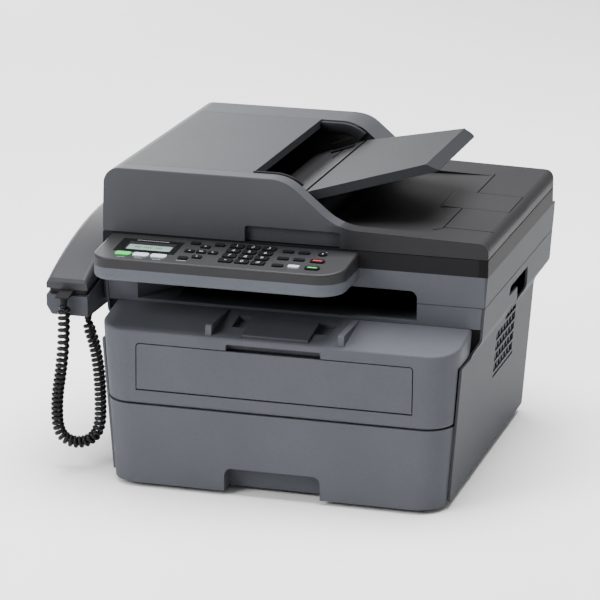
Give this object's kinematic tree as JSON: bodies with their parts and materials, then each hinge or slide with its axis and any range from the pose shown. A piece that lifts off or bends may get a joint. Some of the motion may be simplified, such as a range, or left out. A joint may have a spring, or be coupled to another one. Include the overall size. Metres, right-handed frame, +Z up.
{
  "type": "fax machine",
  "caption": "Desktop laser fax machine with a document feeder lid, sloping key panel, paper tray, fold-out doors and a corded handset in a side cradle.",
  "frame": {"origin": "on the table, under the middle of the box round the machine and its handset", "axes": "+X to the machine's right as its user sees it, +Y to the back, +Z up"},
  "size_m": [0.459, 0.3973, 0.3298],
  "materials": {
    "body_grey": "fine textured",
    "dark_grey": "fine textured",
    "panel_grey": "satin",
    "feeder_grey": "fine textured",
    "black": "satin",
    "handset_grey": "satin",
    "key_black": "satin",
    "key_white": "satin",
    "key_green": "satin",
    "cord_black": "satin",
    "foot_rubber": "matt",
    "roller_rubber": "matt",
    "clear_glass": "polished",
    "display": "polished",
    "steel": "brushed",
    "pad_white": "soft",
    "drum_green": "polished"
  },
  "bodies": {
    "chassis": {"base_frame": "black", "rubber_feet": "foot_rubber", "cover_screws": "steel", "left_side_cover": "body_grey", "right_side_cover": "body_grey", "upper_housing": "body_grey", "scanner_base": "dark_grey", "platen_glass": "clear_glass", "scan_rail": "steel", "panel_base": "panel_grey", "panel_top": "dark_grey", "display_window": "display", "handset_cradle": "body_grey", "laser_unit": "black", "toner_unit": "black", "fuser_unit": "black", "handset_cord": "cord_black"},
    "tray": {"paper_tray": "body_grey"},
    "lift": {"lift_plate": "steel"},
    "cover": {"front_cover": "body_grey"},
    "feed_door": {"manual_feed_door": "body_grey"},
    "flap": {"output_flap": "body_grey"},
    "rear_door": {"rear_cover": "body_grey"},
    "lid": {"document_lid": "feeder_grey", "pressure_pad": "pad_white"},
    "feeder_lid": {"feeder_cover": "feeder_grey"},
    "feed_drive": {"feed_roller": "roller_rubber"},
    "table": {"document_tray": "feeder_grey"},
    "guide_a": {"document_guide_front": "dark_grey"},
    "guide_b": {"document_guide_rear": "dark_grey"},
    "stop": {"document_stop": "dark_grey"},
    "carriage": {"scan_carriage": "black"},
    "fan": {"exhaust_fan": "black"},
    "drum": {"drum_roller": "drum_green"},
    "pickup": {"pickup_roller": "roller_rubber"},
    "hook": {"hook_switch": "black"},
    "handset": {"handset_upper": "handset_grey", "handset_lower": "handset_grey"},
    "b_dial_key_1": {"dial_key_1": "key_black"},
    "b_dial_key_2": {"dial_key_2": "key_black"},
    "b_dial_key_3": {"dial_key_3": "key_black"},
    "b_dial_key_4": {"dial_key_4": "key_black"},
    "b_dial_key_5": {"dial_key_5": "key_black"},
    "b_dial_key_6": {"dial_key_6": "key_black"},
    "b_dial_key_7": {"dial_key_7": "key_black"},
    "b_dial_key_8": {"dial_key_8": "key_black"},
    "b_dial_key_9": {"dial_key_9": "key_black"},
    "b_dial_key_star": {"dial_key_star": "key_black"},
    "b_dial_key_0": {"dial_key_0": "key_black"},
    "b_dial_key_hash": {"dial_key_hash": "key_black"},
    "b_fax_key": {"fax_key": "key_green"},
    "b_scan_key": {"scan_key": "key_white"},
    "b_copy_key": {"copy_key": "key_white"},
    "b_ok_key": {"ok_key": "key_black"},
    "b_arrow_keys": {"arrow_keys": "key_black"},
    "b_menu_keys": {"menu_keys": "key_black"},
    "b_function_keys": {"function_keys": "key_black"},
    "b_stop_key": {"stop_key": "key_black"},
    "b_start_key": {"start_key": "key_black"},
    "b_power_key": {"power_key": "key_black"}
  },
  "joints": [
    {"name": "tray_slide", "type": "slide", "parent": "chassis", "child": "tray", "axis": [0, -1, 0], "range_m": [0, 0.22]},
    {"name": "lift_tilt", "type": "hinge", "parent": "tray", "child": "lift", "pos_m": [0.0245, 0.0823, 0.013], "axis": [-1, 0, 0], "range_deg": [0, 10]},
    {"name": "cover_hinge", "type": "hinge", "parent": "chassis", "child": "cover", "pos_m": [0.0245, -0.19185, 0.094], "axis": [1, 0, 0], "range_deg": [0, 80]},
    {"name": "feed_door_hinge", "type": "hinge", "parent": "cover", "child": "feed_door", "pos_m": [0.0245, -0.19454, 0.1065], "axis": [1, 0, 0], "range_deg": [0, 80]},
    {"name": "flap_hinge", "type": "hinge", "parent": "cover", "child": "flap", "pos_m": [0.0245, -0.18742, 0.1664], "axis": [1, 0, 0], "range_deg": [0, 60]},
    {"name": "rear_door_hinge", "type": "hinge", "parent": "chassis", "child": "rear_door", "pos_m": [0.0245, 0.1613, 0.042], "axis": [-1, 0, 0], "range_deg": [0, 80]},
    {"name": "lid_hinge", "type": "hinge", "parent": "chassis", "child": "lid", "pos_m": [0.0245, 0.19, 0.2599], "axis": [-1, 0, 0], "range_deg": [0, 80]},
    {"name": "feeder_lid_hinge", "type": "hinge", "parent": "lid", "child": "feeder_lid", "pos_m": [-0.1735, 0.02, 0.276], "axis": [0, -1, 0], "range_deg": [0, 65]},
    {"name": "feed_roller_spin", "type": "hinge", "parent": "lid", "child": "feed_drive", "pos_m": [-0.0655, 0.02, 0.296], "axis": [0, 1, 0], "continuous": true},
    {"name": "table_hinge", "type": "hinge", "parent": "lid", "child": "table", "pos_m": [0.03371, 0.021, 0.29615], "axis": [0, -1, 0], "range_deg": [0, 45]},
    {"name": "guide_a_slide", "type": "slide", "parent": "lid", "child": "guide_a", "axis": [0, 1, 0], "range_m": [0, 0.036]},
    {"name": "guide_b_slide", "type": "slide", "parent": "lid", "child": "guide_b", "axis": [0, -1, 0], "range_m": [0, 0.036]},
    {"name": "stop_hinge", "type": "hinge", "parent": "lid", "child": "stop", "pos_m": [0.14897, 0.037, 0.2683], "axis": [0, -1, 0], "range_deg": [0, 60]},
    {"name": "carriage_slide", "type": "slide", "parent": "chassis", "child": "carriage", "axis": [1, 0, 0], "range_m": [0, 0.3]},
    {"name": "fan_spin", "type": "hinge", "parent": "chassis", "child": "fan", "pos_m": [0.1895, 0.03, 0.1205], "axis": [1, 0, 0], "continuous": true},
    {"name": "drum_spin", "type": "hinge", "parent": "chassis", "child": "drum", "pos_m": [0.0245, -0.02, 0.111], "axis": [1, 0, 0], "continuous": true},
    {"name": "pickup_spin", "type": "hinge", "parent": "chassis", "child": "pickup", "pos_m": [0.0245, -0.13, 0.074], "axis": [1, 0, 0], "continuous": true},
    {"name": "hook_press", "type": "slide", "parent": "chassis", "child": "hook", "axis": [0, -0.1959, 0.9806], "range_m": [-0.0025, 0], "stiffness_N_per_m": 300},
    {"name": "handset_lift", "type": "slide", "parent": "chassis", "child": "handset", "axis": [0, -0.1959, 0.9806], "range_m": [0, 0.06], "deforming": ["handset_cord"]},
    {"name": "dial_key_1_press", "type": "slide", "parent": "chassis", "child": "b_dial_key_1", "axis": [0, 0.0995, -0.995], "range_m": [0, 0.0012], "stiffness_N_per_m": 250},
    {"name": "dial_key_2_press", "type": "slide", "parent": "chassis", "child": "b_dial_key_2", "axis": [0, 0.0995, -0.995], "range_m": [0, 0.0012], "stiffness_N_per_m": 250},
    {"name": "dial_key_3_press", "type": "slide", "parent": "chassis", "child": "b_dial_key_3", "axis": [0, 0.0995, -0.995], "range_m": [0, 0.0012], "stiffness_N_per_m": 250},
    {"name": "dial_key_4_press", "type": "slide", "parent": "chassis", "child": "b_dial_key_4", "axis": [0, 0.0995, -0.995], "range_m": [0, 0.0012], "stiffness_N_per_m": 250},
    {"name": "dial_key_5_press", "type": "slide", "parent": "chassis", "child": "b_dial_key_5", "axis": [0, 0.0995, -0.995], "range_m": [0, 0.0012], "stiffness_N_per_m": 250},
    {"name": "dial_key_6_press", "type": "slide", "parent": "chassis", "child": "b_dial_key_6", "axis": [0, 0.0995, -0.995], "range_m": [0, 0.0012], "stiffness_N_per_m": 250},
    {"name": "dial_key_7_press", "type": "slide", "parent": "chassis", "child": "b_dial_key_7", "axis": [0, 0.0995, -0.995], "range_m": [0, 0.0012], "stiffness_N_per_m": 250},
    {"name": "dial_key_8_press", "type": "slide", "parent": "chassis", "child": "b_dial_key_8", "axis": [0, 0.0995, -0.995], "range_m": [0, 0.0012], "stiffness_N_per_m": 250},
    {"name": "dial_key_9_press", "type": "slide", "parent": "chassis", "child": "b_dial_key_9", "axis": [0, 0.0995, -0.995], "range_m": [0, 0.0012], "stiffness_N_per_m": 250},
    {"name": "dial_key_star_press", "type": "slide", "parent": "chassis", "child": "b_dial_key_star", "axis": [0, 0.0995, -0.995], "range_m": [0, 0.0012], "stiffness_N_per_m": 250},
    {"name": "dial_key_0_press", "type": "slide", "parent": "chassis", "child": "b_dial_key_0", "axis": [0, 0.0995, -0.995], "range_m": [0, 0.0012], "stiffness_N_per_m": 250},
    {"name": "dial_key_hash_press", "type": "slide", "parent": "chassis", "child": "b_dial_key_hash", "axis": [0, 0.0995, -0.995], "range_m": [0, 0.0012], "stiffness_N_per_m": 250},
    {"name": "fax_key_press", "type": "slide", "parent": "chassis", "child": "b_fax_key", "axis": [0, 0.0995, -0.995], "range_m": [0, 0.0012], "stiffness_N_per_m": 250},
    {"name": "scan_key_press", "type": "slide", "parent": "chassis", "child": "b_scan_key", "axis": [0, 0.0995, -0.995], "range_m": [0, 0.0012], "stiffness_N_per_m": 250},
    {"name": "copy_key_press", "type": "slide", "parent": "chassis", "child": "b_copy_key", "axis": [0, 0.0995, -0.995], "range_m": [0, 0.0012], "stiffness_N_per_m": 250},
    {"name": "ok_key_press", "type": "slide", "parent": "chassis", "child": "b_ok_key", "axis": [0, 0.0995, -0.995], "range_m": [0, 0.0012], "stiffness_N_per_m": 250},
    {"name": "arrow_keys_press", "type": "slide", "parent": "chassis", "child": "b_arrow_keys", "axis": [0, 0.0995, -0.995], "range_m": [0, 0.0012], "stiffness_N_per_m": 250},
    {"name": "menu_keys_press", "type": "slide", "parent": "chassis", "child": "b_menu_keys", "axis": [0, 0.0995, -0.995], "range_m": [0, 0.0012], "stiffness_N_per_m": 250},
    {"name": "function_keys_press", "type": "slide", "parent": "chassis", "child": "b_function_keys", "axis": [0, 0.0995, -0.995], "range_m": [0, 0.0012], "stiffness_N_per_m": 250},
    {"name": "stop_key_press", "type": "slide", "parent": "chassis", "child": "b_stop_key", "axis": [0, 0.0995, -0.995], "range_m": [0, 0.0012], "stiffness_N_per_m": 250},
    {"name": "start_key_press", "type": "slide", "parent": "chassis", "child": "b_start_key", "axis": [0, 0.0995, -0.995], "range_m": [0, 0.0012], "stiffness_N_per_m": 250},
    {"name": "power_key_press", "type": "slide", "parent": "chassis", "child": "b_power_key", "axis": [0, 0.0995, -0.995], "range_m": [0, 0.0012], "stiffness_N_per_m": 250}
  ],
  "couplings": [
    {"joint": "guide_b_slide", "follows": "guide_a_slide", "ratio": 1}
  ]
}
